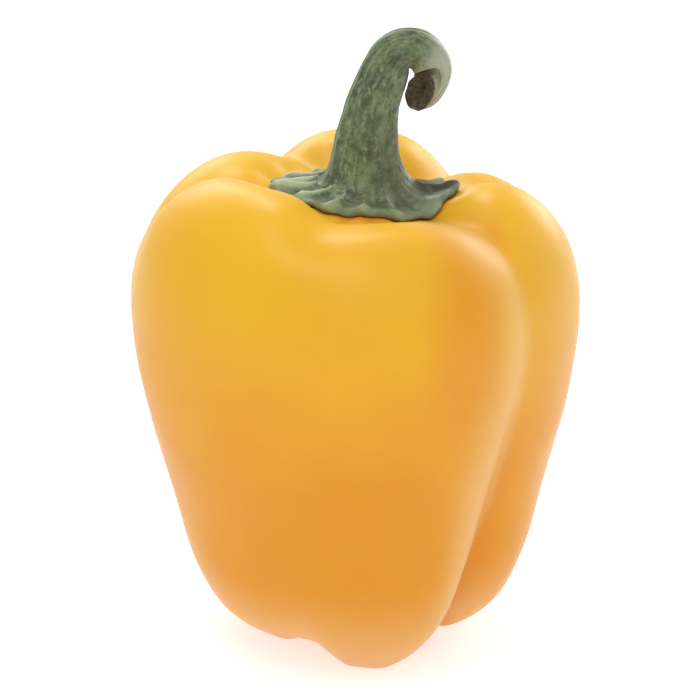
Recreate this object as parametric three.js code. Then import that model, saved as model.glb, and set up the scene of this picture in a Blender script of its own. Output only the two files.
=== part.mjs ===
// A ripe yellow bell pepper standing upright on three of its lobes, in millimetres with +Z up.
// The fruit is one solid. The green stem and its calyx, which grew as one piece, are the other.
// A bearing turns about the fruit's axis, seen from above: 0 faces -Y and 90 degrees faces +X.
// A height is counted from the surface that the pepper stands on.
import * as THREE from "three";

// Driving dimensions of the fruit.
const FRUIT_RADIUS = 44.3; // from the axis to the fullest part of a lobe
const FRUIT_HEIGHT = 95.4; // from the toes to the highest shoulder
const FOOT_SINK = 1; // how much of each low toe is pressed flat where it rests

// Outlines from the top centre to the bottom centre, as shares of the radius and of the height:
// one over the crown of a lobe, and one along the bottom of a furrow between two lobes.
const LOBE_OUTLINE = [
  [0, 0.926], [0.2, 0.926], [0.385, 0.94], [0.55, 0.992], [0.72, 0.988], [0.88, 0.922],
  [0.984, 0.807], [1, 0.671], [0.952, 0.503], [0.86, 0.335], [0.787, 0.178], [0.66, 0.052],
  [0.44, -0.019], [0.255, 0.012], [0.11, 0.063], [0, 0.084],
];
const FURROW_OUTLINE = [
  [0, 0.926], [0.2, 0.924], [0.385, 0.926], [0.52, 0.928], [0.677, 0.903], [0.813, 0.828],
  [0.871, 0.713], [0.858, 0.577], [0.79, 0.419], [0.688, 0.273], [0.598, 0.162], [0.463, 0.094],
  [0.293, 0.073], [0.135, 0.084], [0, 0.084],
];

// Each lobe's bearing in degrees, its reach as a share of the outline's, and how far its
// shoulder and its toe stand above the outline, in millimetres.
const LOBES = [
  { bearing: 17, reach: 1, shoulder: -4.4, toe: 0 },
  { bearing: 80, reach: 0.984, shoulder: -0.5, toe: 1.2 },
  { bearing: 118, reach: 0.985, shoulder: -3.1, toe: -2 },
  { bearing: 181, reach: 1, shoulder: 0.2, toe: 1.6 },
  { bearing: 235, reach: 1, shoulder: -0.9, toe: 0 },
  { bearing: 307, reach: 0.985, shoulder: 0.6, toe: 4.5 },
];
const LOBE_FOCUS = 12; // how sharply one lobe's values give way to the next one's

// Each furrow's bearing, how far it slants along its length and its width, in degrees, and its
// depth at the shoulder, the widest part, the waist and the toe: 1 reaches the furrow outline.
const FURROWS = [
  { bearing: 52, slant: -2, width: 13, depth: [0.9, 0.55, 1.15, 1.35] },
  { bearing: 100, slant: 0, width: 12, depth: [0.8, 0.25, 0.2, 0.5] },
  { bearing: 140, slant: 0, width: 12, depth: [0.9, 0.7, 0.9, 1] },
  { bearing: 210, slant: 0, width: 12, depth: [0.65, 0.6, 0.9, 1] },
  { bearing: 267, slant: 4, width: 13, depth: [1, 0.35, 1.05, 0.8] },
  { bearing: 343, slant: 0, width: 18, depth: [0.22, 0.08, 0.1, 0.4] },
];
const FURROW_ROUNDING = 0.35; // radius at the bottom of a furrow, as a share of its width

// Where along the outline these are, as shares of its length from the top centre.
const DEPTH_STATIONS = [0.14, 0.34, 0.62, 0.86]; // the four places of a furrow's depth
const SHOULDER_SPAN = [0.04, 0.16, 0.18, 0.45]; // a shoulder's own height rises, holds and fades
const TOE_SPAN = [0.6, 0.85, 0.93, 1]; // and so does a toe's

// Driving dimensions of the calyx.
const CALYX_CENTRE = new THREE.Vector2(2.1, 0.3);
const CALYX_RADIUS = 14.4; // to the notches between the tips
const CALYX_OVAL = 0.85; // its depth in Y, as a share of its width
const TIP_REACH = 3.4; // how much further the tips reach
const TIP_BEARINGS = [31, 66, 128, 200, 250, 284, 323];
const TIP_FOCUS = 16;
const RIBS = 15;
const RIB_HEIGHT = 1;
const SEAT_GAP = 0.3; // between the calyx and the fruit

// The calyx's bands. Its underside follows the fruit's top. Its upper side lies a little above
// that and rises to the foot of the stem. Each band is a share of the way out to the calyx's
// edge, with a height above the fruit and the share of the ribs' relief that it carries.
const CALYX_UNDERSIDE = [1, 0.85, 0.6, 0.3];
const CALYX_UPPER_SIDE = [
  { out: 0.65, height: 2.1, relief: 0.7 }, { out: 0.74, height: 1.7, relief: 0.9 },
  { out: 0.84, height: 1.5, relief: 1 }, { out: 0.93, height: 1.5, relief: 1 },
  { out: 1, height: 1.3, relief: 0.7 }, { out: 1.03, height: 0.7, relief: 0.2 },
];

const OVAL_SPAN = [0.5, 0.9]; // the calyx is round up to the stem's foot and oval from here on

// The stem's centreline from the middle of the calyx: straight up, then over in a tight hook
// that goes back as it turns down.
const STEM_PATH = [
  [0, 0, 0], [0.1, 0, 8], [0.7, -0.1, 14], [1.7, -0.3, 19], [4.1, -0.3, 25.4],
  [5.8, 0.2, 27.4], [7.8, 1, 27.8], [9.9, 2, 27.1], [11.4, 3, 25.3], [12.1, 4, 23],
  [11.4, 4.9, 20.3], [10.1, 5.2, 19],
];
const CUT_FACING = new THREE.Vector3(-0.62, -0.56, -0.15).normalize();
const CUT_DISH = 0.6; // how deep the middle of the cut has dried in

// Places along the stem's centreline, in millimetres from the calyx, and the radii there.
const STEM_RADII = [
  [3, 9.2], [4.6, 7.7], [6.6, 6.8], [9, 6.2], [15, 5.35], [22, 4.64], [28, 4.31],
  [34, 4.67], [41, 4.08],
];
const FOOT_PLACES = [3, 4.6, 6.6]; // the bands where the stem widens into the calyx
const FOOT_SPAN = [2, 8]; // over these it gives up the slope of the fruit's top
const BODY_START = 9; // the bands above are evenly spaced from here to the cut
const BODY_BANDS = 22;
const STEM_FACETS = 5; // soft ridges along the stem
const STEM_RIDGE = 0.05; // their height, as a share of the stem's radius
const STEM_TWIST = 0.04; // their turn, in radians for each millimetre
const RIDGE_SPAN = [16, 30]; // over these they fade, down to RIDGE_LEFT
const RIDGE_LEFT = 0.4;
const HOOK_SPAN = [24.2, 33.4]; // over these the hook's inner side gets pressed in
const HOOK_INSIDE = 115.6; // the inner side's bearing, in degrees
const PINCH = 0.287; // how far it is pressed in, as a share of the radius
const PINCH_FOCUS = 0.378;
const LEAN_START = 30.3; // from here on the bands lean over into the plane of the cut

// How finely the solids are divided.
const FRUIT_SECTORS = 90;
const FRUIT_BANDS = 42;
const STEM_SECTORS = 64;
const SEARCH_STEPS = 24; // halvings in the search for the fruit's top

const { degToRad: radians, smoothstep, lerp } = THREE.MathUtils;

// An outline's points joined by a smooth curve, in millimetres.
const outlineThrough = (points) =>
  new THREE.SplineCurve(points.map(([x, y]) => new THREE.Vector2(x * FRUIT_RADIUS, y * FRUIT_HEIGHT)));

const lobeOutline = outlineThrough(LOBE_OUTLINE);
const furrowOutline = outlineThrough(FURROW_OUTLINE);

// 1 at a bearing and falling off round it, the faster the larger the focus is.
const nearness = (bearing, centre, focus) => Math.exp(focus * (Math.cos(bearing - radians(centre)) - 1));

// 0 up to the first of four places, 1 between the middle two, and 0 again from the last on.
const hump = (place, [start, full, fade, end]) =>
  smoothstep(place, start, full) * (1 - smoothstep(place, fade, end));

// How deep the furrows are here: 0 on a lobe's crown, 1 on the furrow outline.
function furrowDepth(bearing, along) {
  let total = 0;
  for (const { bearing: centre, slant, width, depth } of FURROWS) {
    let here = depth[0];
    for (let i = 1; i < depth.length; i++)
      here += (depth[i] - depth[i - 1]) * smoothstep(along, DEPTH_STATIONS[i - 1], DEPTH_STATIONS[i]);
    const offset = bearing - radians(centre + slant * (along - DEPTH_STATIONS[1]));
    const away = Math.atan2(Math.sin(offset), Math.cos(offset)) / radians(width);
    total += here * Math.exp(FURROW_ROUNDING - Math.hypot(away, FURROW_ROUNDING));
  }
  return total;
}

// One of the lobes' own values, blended at a bearing.
function lobeValue(bearing, name) {
  let weights = 0, total = 0;
  for (const lobe of LOBES) {
    const weight = nearness(bearing, lobe.bearing, LOBE_FOCUS);
    weights += weight;
    total += weight * lobe[name];
  }
  return total / weights;
}

// A point of the fruit's skin: its bearing, and how far it is along the outline, from 0 to 1.
function fruitSkin(bearing, along) {
  const section = lobeOutline.getPointAt(along);
  section.lerp(furrowOutline.getPointAt(along), furrowDepth(bearing, along));
  const radius = section.x * lobeValue(bearing, "reach");
  const shoulder = lobeValue(bearing, "shoulder") * hump(along, SHOULDER_SPAN);
  const toe = lobeValue(bearing, "toe") * hump(along, TOE_SPAN);
  const height = Math.max(section.y + shoulder + toe - FOOT_SINK, 0);
  return new THREE.Vector3(radius * Math.sin(bearing), -radius * Math.cos(bearing), height);
}

// The height of the fruit's top above a point inside its shoulders.
function fruitTop(x, y) {
  const bearing = Math.atan2(x, -y);
  const radius = Math.hypot(x, y);
  let low = 0, high = DEPTH_STATIONS[1];
  for (let i = 0; i < SEARCH_STEPS; i++) {
    const middle = (low + high) / 2;
    const point = fruitSkin(bearing, middle);
    if (Math.hypot(point.x, point.y) < radius) low = middle;
    else high = middle;
  }
  return fruitSkin(bearing, low).z;
}

// A closed skin over rings of equally many points, the first and last ring a single point.
// Seen from outside and with the first ring on top, each ring runs to the right.
function closedSkin(rings) {
  const positions = [], index = [], starts = [];
  for (const ring of rings) {
    starts.push(positions.length / 3);
    for (const point of ring) positions.push(point.x, point.y, point.z);
  }
  const sectors = rings[1].length, last = rings.length - 1;
  for (let i = 0; i < sectors; i++) {
    const next = (i + 1) % sectors;
    index.push(starts[0], starts[1] + i, starts[1] + next);
    index.push(starts[last], starts[last - 1] + next, starts[last - 1] + i);
    for (let ring = 1; ring < last - 1; ring++) {
      const above = starts[ring], below = starts[ring + 1];
      index.push(above + i, below + i, below + next, above + i, below + next, above + next);
    }
  }
  const geometry = new THREE.BufferGeometry();
  geometry.setAttribute("position", new THREE.Float32BufferAttribute(positions, 3));
  geometry.setIndex(index);
  geometry.computeVertexNormals();
  return geometry;
}

const ringOf = (sectors, pointAt) =>
  Array.from({ length: sectors }, (_, i) => pointAt((2 * Math.PI * i) / sectors));

function fruitGeometry() {
  const rings = [[fruitSkin(0, 0)]];
  for (let band = 1; band < FRUIT_BANDS; band++)
    rings.push(ringOf(FRUIT_SECTORS, (bearing) => fruitSkin(bearing, band / FRUIT_BANDS)));
  rings.push([fruitSkin(0, 1)]);
  return closedSkin(rings);
}

// The calyx's edge: notches, and rounded tips that reach past them.
function calyxEdge(bearing) {
  let tips = 0;
  for (const tip of TIP_BEARINGS) tips += nearness(bearing, tip, TIP_FOCUS);
  return CALYX_RADIUS + TIP_REACH * Math.min(tips, 1);
}

// Ribs that run out over the calyx, unevenly spaced as they grow: 1 on a rib and 0 between two.
function ribs(bearing) {
  const wander = 0.5 * Math.sin(2 * bearing + 1) + 0.4 * Math.sin(3 * bearing);
  return (0.5 + 0.5 * Math.cos(RIBS * bearing + wander)) ** 2;
}

function calyxPoint(bearing, out, height) {
  const radius = out * calyxEdge(bearing);
  const oval = lerp(1, CALYX_OVAL, smoothstep(out, ...OVAL_SPAN));
  const x = CALYX_CENTRE.x + radius * Math.sin(bearing);
  const y = CALYX_CENTRE.y - oval * radius * Math.cos(bearing);
  return new THREE.Vector3(x, y, fruitTop(x, y) + SEAT_GAP + height);
}

// The stem's path stands on the fruit's top at the calyx's centre.
const seatHeight = fruitTop(CALYX_CENTRE.x, CALYX_CENTRE.y) + SEAT_GAP;
const stemPath = new THREE.CatmullRomCurve3(
  STEM_PATH.map(([x, y, z]) => new THREE.Vector3(CALYX_CENTRE.x + x, CALYX_CENTRE.y + y, seatHeight + z)),
  false, "catmullrom", 0.5);
const stemLength = stemPath.getLength();
const endForward = stemPath.getTangentAt(1);

// The stem's radius at a place along its centreline, straight from one given radius to the next.
function stemRadius(along) {
  const next = STEM_RADII.findIndex(([place]) => place >= along);
  if (next < 0) return STEM_RADII.at(-1)[1];
  const [to, after] = STEM_RADII[next];
  const [from, before] = STEM_RADII[Math.max(next - 1, 0)];
  return to === from ? after : lerp(before, after, (along - from) / (to - from));
}

function stemPoint(bearing, along) {
  const share = along / stemLength;
  const forward = stemPath.getTangentAt(share);
  const right = new THREE.Vector3(0, 1, 0).cross(forward).normalize();
  const back = forward.clone().cross(right);
  const relief = STEM_RIDGE * lerp(1, RIDGE_LEFT, smoothstep(along, ...RIDGE_SPAN));
  const ridges = 1 + relief * Math.cos(STEM_FACETS * bearing + STEM_TWIST * along);
  const pinched = 1 - PINCH * smoothstep(along, ...HOOK_SPAN) * nearness(bearing, HOOK_INSIDE, PINCH_FOCUS);
  const spoke = right.multiplyScalar(Math.sin(bearing)).addScaledVector(back, -Math.cos(bearing));
  spoke.multiplyScalar(stemRadius(along) * ridges * pinched);
  const lean = smoothstep(along, LEAN_START, stemLength);
  const facing = CUT_FACING.clone().sub(endForward).multiplyScalar(lean).add(forward);
  spoke.addScaledVector(forward, -spoke.dot(facing) / forward.dot(facing));
  const point = stemPath.getPointAt(share).add(spoke);
  const slope = 1 - smoothstep(along, ...FOOT_SPAN);
  if (slope > 0) point.z += slope * (fruitTop(point.x, point.y) + SEAT_GAP - seatHeight);
  return point;
}

// From the middle of the cut down the stem, out over the calyx and back under it.
function stemAndCalyxGeometry() {
  const ring = (pointAt) => ringOf(STEM_SECTORS, pointAt);
  const bodyPlaces = Array.from({ length: BODY_BANDS }, (_, i) =>
    lerp(BODY_START, stemLength, i / (BODY_BANDS - 1)));
  const stemPlaces = [...FOOT_PLACES, ...bodyPlaces].reverse();
  return closedSkin([
    [stemPath.getPointAt(1).addScaledVector(CUT_FACING, -CUT_DISH)],
    ...stemPlaces.map((along) => ring((bearing) => stemPoint(bearing, along))),
    ...CALYX_UPPER_SIDE.map(({ out, height, relief }) => ring((bearing) =>
      calyxPoint(bearing, out, height + relief * RIB_HEIGHT * ribs(bearing)))),
    ...CALYX_UNDERSIDE.map((out) => ring((bearing) => calyxPoint(bearing, out, 0))),
    [calyxPoint(0, 0, 0)],
  ]);
}

function named(name, geometry, color, roughness) {
  const material = new THREE.MeshStandardMaterial({ color, roughness, metalness: 0 });
  const mesh = new THREE.Mesh(geometry, material);
  mesh.name = name;
  return mesh;
}

const pepper = new THREE.Group();
pepper.add(named("fruit", fruitGeometry(), 0xe8a834, 0.28));
pepper.add(named("stem_and_calyx", stemAndCalyxGeometry(), 0x68774f, 0.6));

// The origin is under the middle of the pepper's box, on the surface that it stands on.
const middle = new THREE.Box3().setFromObject(pepper).getCenter(new THREE.Vector3());
pepper.position.set(-middle.x, -middle.y, 0);

export default pepper;
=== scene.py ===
# A ripe yellow bell pepper with its green stem and calyx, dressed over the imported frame.
# The node trees work in millimetres, with bearings seen from above: 0 faces the front, -Y, and a
# quarter turn faces +X. Their last step scales the piece to metres.
import math

import bpy
from mathutils import Matrix, Vector


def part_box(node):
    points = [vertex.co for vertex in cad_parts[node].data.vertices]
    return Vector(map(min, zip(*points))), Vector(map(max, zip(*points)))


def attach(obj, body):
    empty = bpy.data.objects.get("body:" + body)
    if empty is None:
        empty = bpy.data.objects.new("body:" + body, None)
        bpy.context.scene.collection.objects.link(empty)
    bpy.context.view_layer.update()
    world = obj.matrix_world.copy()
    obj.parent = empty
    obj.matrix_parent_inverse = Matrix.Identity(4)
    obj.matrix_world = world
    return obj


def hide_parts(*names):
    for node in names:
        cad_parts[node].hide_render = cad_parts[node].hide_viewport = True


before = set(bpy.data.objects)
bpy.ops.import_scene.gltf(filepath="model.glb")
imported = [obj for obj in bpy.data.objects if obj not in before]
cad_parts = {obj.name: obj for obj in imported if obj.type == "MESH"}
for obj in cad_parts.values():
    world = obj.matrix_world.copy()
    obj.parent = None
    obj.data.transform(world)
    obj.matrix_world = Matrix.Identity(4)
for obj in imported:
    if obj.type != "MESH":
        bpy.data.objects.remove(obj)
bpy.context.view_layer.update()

MM = 0.001

# Driving dimensions of the fruit, the same as the frame's.
FRUIT_RADIUS = 44.3  # from the axis to the fullest part of a lobe
FRUIT_HEIGHT = 95.4  # from the toes to the highest shoulder
FOOT_SINK = 1.0  # how much of each low toe is pressed flat where it rests

# Outlines from the top centre to the bottom centre, as shares of the radius and of the height:
# one over the crown of a lobe, and one along the bottom of a furrow between two lobes.
LOBE_OUTLINE = (
    (0, 0.926), (0.2, 0.926), (0.385, 0.94), (0.55, 0.992), (0.72, 0.988), (0.88, 0.922),
    (0.984, 0.807), (1, 0.671), (0.952, 0.503), (0.86, 0.335), (0.787, 0.178), (0.66, 0.052),
    (0.44, -0.019), (0.255, 0.012), (0.11, 0.063), (0, 0.084),
)
FURROW_OUTLINE = (
    (0, 0.926), (0.2, 0.924), (0.385, 0.926), (0.52, 0.928), (0.677, 0.903), (0.813, 0.828),
    (0.871, 0.713), (0.858, 0.577), (0.79, 0.419), (0.688, 0.273), (0.598, 0.162), (0.463, 0.094),
    (0.293, 0.073), (0.135, 0.084), (0, 0.084),
)

# Each lobe: its bearing in degrees, its reach as a share of the outline's, and how far its
# shoulder and its toe stand above the outline, in millimetres.
LOBES = (
    (17, 1, -4.4, 0),
    (80, 0.984, -0.5, 1.2),
    (118, 0.985, -3.1, -2),
    (181, 1, 0.2, 1.6),
    (235, 1, -0.9, 0),
    (307, 0.985, 0.6, 4.5),
)
LOBE_FOCUS = 12  # how sharply one lobe's values give way to the next one's

# Each furrow: its bearing, how far it slants along its length and its width, in degrees, and
# its depth at the shoulder, the widest part, the waist and the toe.
FURROWS = (
    (52, -2, 13, (0.9, 0.55, 1.15, 1.35)),
    (100, 0, 12, (0.8, 0.25, 0.2, 0.5)),
    (140, 0, 12, (0.9, 0.7, 0.9, 1)),
    (210, 0, 12, (0.65, 0.6, 0.9, 1)),
    (267, 4, 13, (1, 0.35, 1.05, 0.8)),
    (343, 0, 18, (0.22, 0.08, 0.1, 0.4)),
)
FURROW_ROUNDING = 0.35  # radius at the bottom of a furrow, as a share of its width

# Where along the outline these are, as shares of its length from the top centre.
DEPTH_STATIONS = (0.14, 0.34, 0.62, 0.86)  # the four places of a furrow's depth
SHOULDER_SPAN = (0.04, 0.16, 0.18, 0.45)  # a shoulder's own height rises, holds and fades
TOE_SPAN = (0.6, 0.85, 0.93, 1)  # and so does a toe's

# The calyx, the same as the frame's.
CALYX_CENTRE = (2.1, 0.3)
CALYX_RADIUS = 14.4  # to the notches between the tips
CALYX_OVAL = 0.85  # its depth as a share of its width
TIP_REACH = 3.4  # how much further the tips reach
TIP_BEARINGS = (31, 66, 128, 200, 250, 284, 323)
TIP_FOCUS = 16
RIBS = 15

# What the dressed calyx has beyond the frame's: higher, narrower and uneven ribs, a torn edge,
# and a small fin where the edge has curled up, which is painted dark with painted shade.
RIB_HEIGHT = 1.25
RIB_SHARPNESS = 3.2  # the power that narrows the ribs
RIB_WAVES = ((0.4, 3, 0), (0.5, 2, 1))  # how far each shifts the ribs, how often, its start
RIBS_STRONGEST = 280  # the bearing of the strongest ribs
RIBS_FOCUS = 2.5
RIB_STRENGTHS = (0.35, 1.6)  # heights of the weakest and the strongest, as shares
RAGGED_EDGE = 2.4  # how strongly the edge is torn in and out
TEAR_RATE = 5  # how often, for each radian round the calyx
FIN_BEARING = 80
FIN_FOCUS = 45
FIN_HEIGHT = 0.5

# The stem's centreline from the middle of the calyx, the same as the frame's.
STEM_PATH = (
    (0, 0, 0), (0.1, 0, 8), (0.7, -0.1, 14), (1.7, -0.3, 19), (4.1, -0.3, 25.4),
    (5.8, 0.2, 27.4), (7.8, 1, 27.8), (9.9, 2, 27.1), (11.4, 3, 25.3), (12.1, 4, 23),
    (11.4, 4.9, 20.3), (10.1, 5.2, 19),
)
STEM_RADII = (
    (3, 9.2), (4.6, 7.7), (6.6, 6.8), (9, 6.2), (15, 5.35), (22, 4.64), (28, 4.31),
    (34, 4.67), (41, 4.08),
)
CUT_FACING = Vector((-0.62, -0.56, -0.15)).normalized()

# Fine detail that only the dressed pepper has, in millimetres.
UNDULATION = (0.45, 26.0)  # height and spacing of the slow unevenness of a grown fruit
DIMPLING = (0.05, 4.0)  # and of the shallow dimpling of its skin
PUCKERS = 19  # small folds of the skin round the calyx
PUCKER_HEIGHT = 0.3
PUCKER_SPAN = (9, 16, 17, 25)  # how far out the puckers rise, hold and fade
SCAR_RADIUS = 2.4  # the brown scar that the flower left in the middle of the underside
SCAR_RING = (0.5, 1.44, 1.68, 3.6)  # how far out its raised ring rises, holds and fades
SCAR_HEIGHT = 0.7
UNDERSIDE_START = 0.8  # along the outline, as a share
SEAT_GAP = 0.15  # between the calyx and the fruit

# The calyx's section: the way out to its edge, its height over the fruit in millimetres, and the
# share of the ribs' relief there, from the middle of the underside to the foot of the stem.
CALYX_SECTION = (
    (0, 0, 0), (0.5, 0, 0), (0.9, 0, 0), (1, 0.05, 0), (1.035, 0.4, 0.1), (1.035, 0.95, 0.4),
    (0.99, 1.45, 0.7), (0.93, 1.5, 1), (0.84, 1.45, 1), (0.74, 1.6, 1), (0.65, 2.1, 0.8),
    (0.57, 3, 0.5),
)
SECTION_SCALE = 16.0  # millimetres for the section's whole way out
FOOT_START = 3.0  # where the calyx becomes the stem, along the stem's centreline
FOOT_SPAN = (2, 8)  # over these the stem gives up the slope of the fruit's top
FOOT_ROWS = (0.72, 1)  # shares of the calyx's rows that lead from its outline to the stem's
STEM_FACETS = 5
STEM_RIDGE = 0.05  # height of the stem's ridges, as a share of its radius
STEM_TWIST = 0.04  # their turn, in radians for each millimetre
RIDGE_SPAN = (16, 30)  # over these they fade, down to RIDGE_LEFT
RIDGE_LEFT = 0.4
HOOK_SPAN = (24.2, 33.4)  # over these the hook's inner side gets pressed in
HOOK_INSIDE = 115.6  # the inner side's bearing, in degrees
PINCH = 0.287  # how far it is pressed in, as a share of the radius
PINCH_FOCUS = 0.378
LEAN_START = 30.3  # from here on the stem's sections lean over into the plane of the cut
CUT_DISH = 1.1  # how deep the middle of the cut has dried in
DISH_SPAN = (0.1, 0.8)  # from where to where, as shares of the way from its edge to its middle
CUT_LIP = 0.25  # how far the cut's edge stands up
LIP_SPAN = (0, 0.08, 0.1, 0.3)  # the same way's shares where the lip rises, holds and fades

# The stem's and the calyx's relief from coarse to fine: its height, and how often it changes
# round the stem and in each millimetre along it. It is stretched lengthwise, as the fibres are.
STEM_RELIEF = (
    (0.55, (1.3, 1.3, 0.11)),
    (0.16, (4.5, 4.5, 0.16)),
    (0.06, (13, 13, 0.3)),
)

# Where the skin's zones of colour and of painted light and shade begin and where they are full, in
# millimetres over the floor, to the right and to the back, or from the calyx's middle. The bank's
# painted reflection takes bearings in degrees.
RIPENING_SPAN = (98, 34)
RIPER_TO_THE_RIGHT = (-30, 40)
SIDES_RIPENESS = (0.18, 0.26)
RIPE_PATCHINESS = 0.12
FLANK_FROM_LEFT = (10, 19)
FLANK_FROM_RIGHT = (29, 24)
FLANK_FROM_BACK = (-10, -20)
FLANK_FROM_BELOW = (44, 62)
PAINTED_BANK_FROM_RIGHT = (55, 47)
PAINTED_BANK_FROM_LEFT = (20, 34)
PAINTED_BANK_FURROW = (0.12, 0.42)  # shares of the furrow's depth, as for the furrows' painted shade
# where the furrows get their painted shade
FURROW_PAINTED_SHADE = (0.75, 1.2)
RIGHT_SIDE_PAINTED_REFLECTION = (26, 40)
TOES_PAINTED_BOUNCE = (22, 2)
ROUND_CALYX = (21, 16)

# And the stem's, a painted highlight and painted shade among them: in millimetres along the stem,
# less than 0 out on the calyx, and to the right.
BROWNER_FROM_ABOVE = (20, 8)
BROWNER_FROM_LEFT = (0, 8)
HOOK_PAINTED_HIGHLIGHT = (31, 37)
ON_CALYX = (3, -3)
OUTER_CALYX = (-1, -6)

# Roughness from the smoothest to the dullest places.
SKIN_ROUGHNESS = (0.34, 0.42)
STEM_ROUGHNESS = (0.3, 0.46)
CUT_ROUGHNESS = 0.85

# The spacing of the markings in millimetres, and their rates round and along the stem.
RIPE_PATCH_SPACING = 24
SPECK_SPACING = 1.3
WAX_SPACING = 9
SKIN_GRAIN_SPACING = 0.9
SKIN_GRAIN_DEPTH = 0.06
LIGHT_DEPTH = 3  # how far light goes into the flesh
MOTTLE_SPACING = 2.6
BROWN_SPACING = 7
CUT_GRAIN_SPACING = 0.8
FIBRE_DEPTH = 0.25
STREAK_RATES = (7, 7, 0.25)
PAINTED_CRINKLE_RATES = (6, 6, 0.9)
FIBRE_RATES = (16, 16, 0.5)

# How finely the pieces are divided.
FRUIT_GRID = (330, 250)  # bearings, and places along the outline
STEM_BEARINGS = 256
CALYX_ROWS = 120
STEM_ROWS = 190
CUT_ROWS = 26
CURVE_STEPS = 24  # of a guide curve, between two of its points
MERGE_DISTANCE = 0.002  # seams and poles closer than this are one point

MATH = "ShaderNodeMath"
VECTOR = "ShaderNodeVectorMath"
RANGE = "ShaderNodeMapRange"
GROUP = "GeometryNodeGroup"


def result_of(node):
    """The first of a node's outputs that its settings leave in use."""
    return next(output for output in node.outputs if output.enabled)


def add(tree, kind, inputs=(), **settings):
    """Adds a node of a kind with its settings, and sets or links its inputs by name or place."""
    node = tree.nodes.new(kind)
    for name, value in settings.items():
        setattr(node, name, value)
    open_inputs = [socket for socket in node.inputs if socket.enabled]
    pairs = inputs.items() if isinstance(inputs, dict) else enumerate(inputs)
    for key, value in pairs:
        if isinstance(key, int):
            socket = open_inputs[key]
        else:
            socket = next(socket for socket in open_inputs if socket.name == key)
        if isinstance(value, bpy.types.Node):
            value = result_of(value)
        if isinstance(value, bpy.types.NodeSocket):
            tree.links.new(value, socket)
        elif value is not None:
            socket.default_value = value
    return node


def start_tree(name, inputs, outputs):
    """A new node tree with named inputs, each a kind and a default, and named outputs."""
    tree = bpy.data.node_groups.new(name, "GeometryNodeTree")
    for label, (kind, default) in inputs.items():
        socket = tree.interface.new_socket(label, in_out="INPUT", socket_type="NodeSocket" + kind)
        if default is not None:
            socket.default_value = default
    for label, kind in outputs.items():
        tree.interface.new_socket(label, in_out="OUTPUT", socket_type="NodeSocket" + kind)
    given = tree.nodes.new("NodeGroupInput").outputs
    return tree, given, tree.nodes.new("NodeGroupOutput").inputs


def guide(name, points):
    """A curve that a node tree samples, through points in millimetres."""
    curve = bpy.data.curves.new(name, "CURVE")
    curve.dimensions = "3D"
    spline = curve.splines.new("POLY")
    spline.points.add(len(points) - 1)
    for point, place in zip(spline.points, points):
        point.co = (*place, 1)
    made = bpy.data.objects.new(name, curve)
    bpy.context.scene.collection.objects.link(made)
    return made


def smooth_curve(tree, guide_socket):
    """The guide's curve, made smooth through its points."""
    info = add(tree, "GeometryNodeObjectInfo", {"Object": guide_socket},
               transform_space="ORIGINAL")
    bent = add(tree, "GeometryNodeCurveSplineType", {"Curve": info.outputs["Geometry"]},
               spline_type="CATMULL_ROM")
    return add(tree, "GeometryNodeSetSplineResolution", {
        "Geometry": bent, "Resolution": CURVE_STEPS})


def bake(name, tree, values):
    """Runs a node tree with its named values, and returns the result as a plain mesh object."""
    piece = bpy.data.objects.new(name, bpy.data.meshes.new(name + "_start"))
    bpy.context.scene.collection.objects.link(piece)
    modifier = piece.modifiers.new(name, "NODES")
    modifier.node_group = tree
    for item in tree.interface.items_tree:
        if item.in_out == "INPUT" and item.name in values:
            modifier[item.identifier] = values[item.name]
    graph = bpy.context.evaluated_depsgraph_get()
    mesh = bpy.data.meshes.new_from_object(piece.evaluated_get(graph), depsgraph=graph)
    piece.modifiers.clear()
    piece.data = mesh
    mesh.name = name
    return piece


def nearness_group():
    """1 at a bearing and falling off round it, the faster the larger the focus is."""
    tree, given, result = start_tree(
        "nearness",
        {"Bearing": ("Float", 0.0), "Centre": ("Float", 0.0), "Focus": ("Float", 12.0)},
        {"Nearness": "Float"})
    away = add(tree, MATH, (given["Bearing"], given["Centre"]), operation="SUBTRACT")
    cosine = add(tree, MATH, (away,), operation="COSINE")
    short = add(tree, MATH, (cosine, 1.0), operation="SUBTRACT")
    focused = add(tree, MATH, (short, given["Focus"]), operation="MULTIPLY")
    near = add(tree, MATH, (focused,), operation="EXPONENT")
    tree.links.new(result_of(near), result["Nearness"])
    return tree


def hump_group():
    """0 up to Start, 1 between Full and Fade, and 0 again from End on."""
    tree, given, result = start_tree(
        "hump",
        {name: ("Float", 0.0) for name in ("Place", "Start", "Full", "Fade", "End")},
        {"Height": "Float"})
    rise = add(tree, RANGE, {"Value": given["Place"], "From Min": given["Start"],
                             "From Max": given["Full"]}, interpolation_type="SMOOTHSTEP")
    fall = add(tree, RANGE, {"Value": given["Place"], "From Min": given["Fade"],
                             "From Max": given["End"], "To Min": 1.0, "To Max": 0.0},
               interpolation_type="SMOOTHSTEP")
    height = add(tree, MATH, (rise, fall), operation="MULTIPLY")
    tree.links.new(result_of(height), result["Height"])
    return tree


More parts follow.
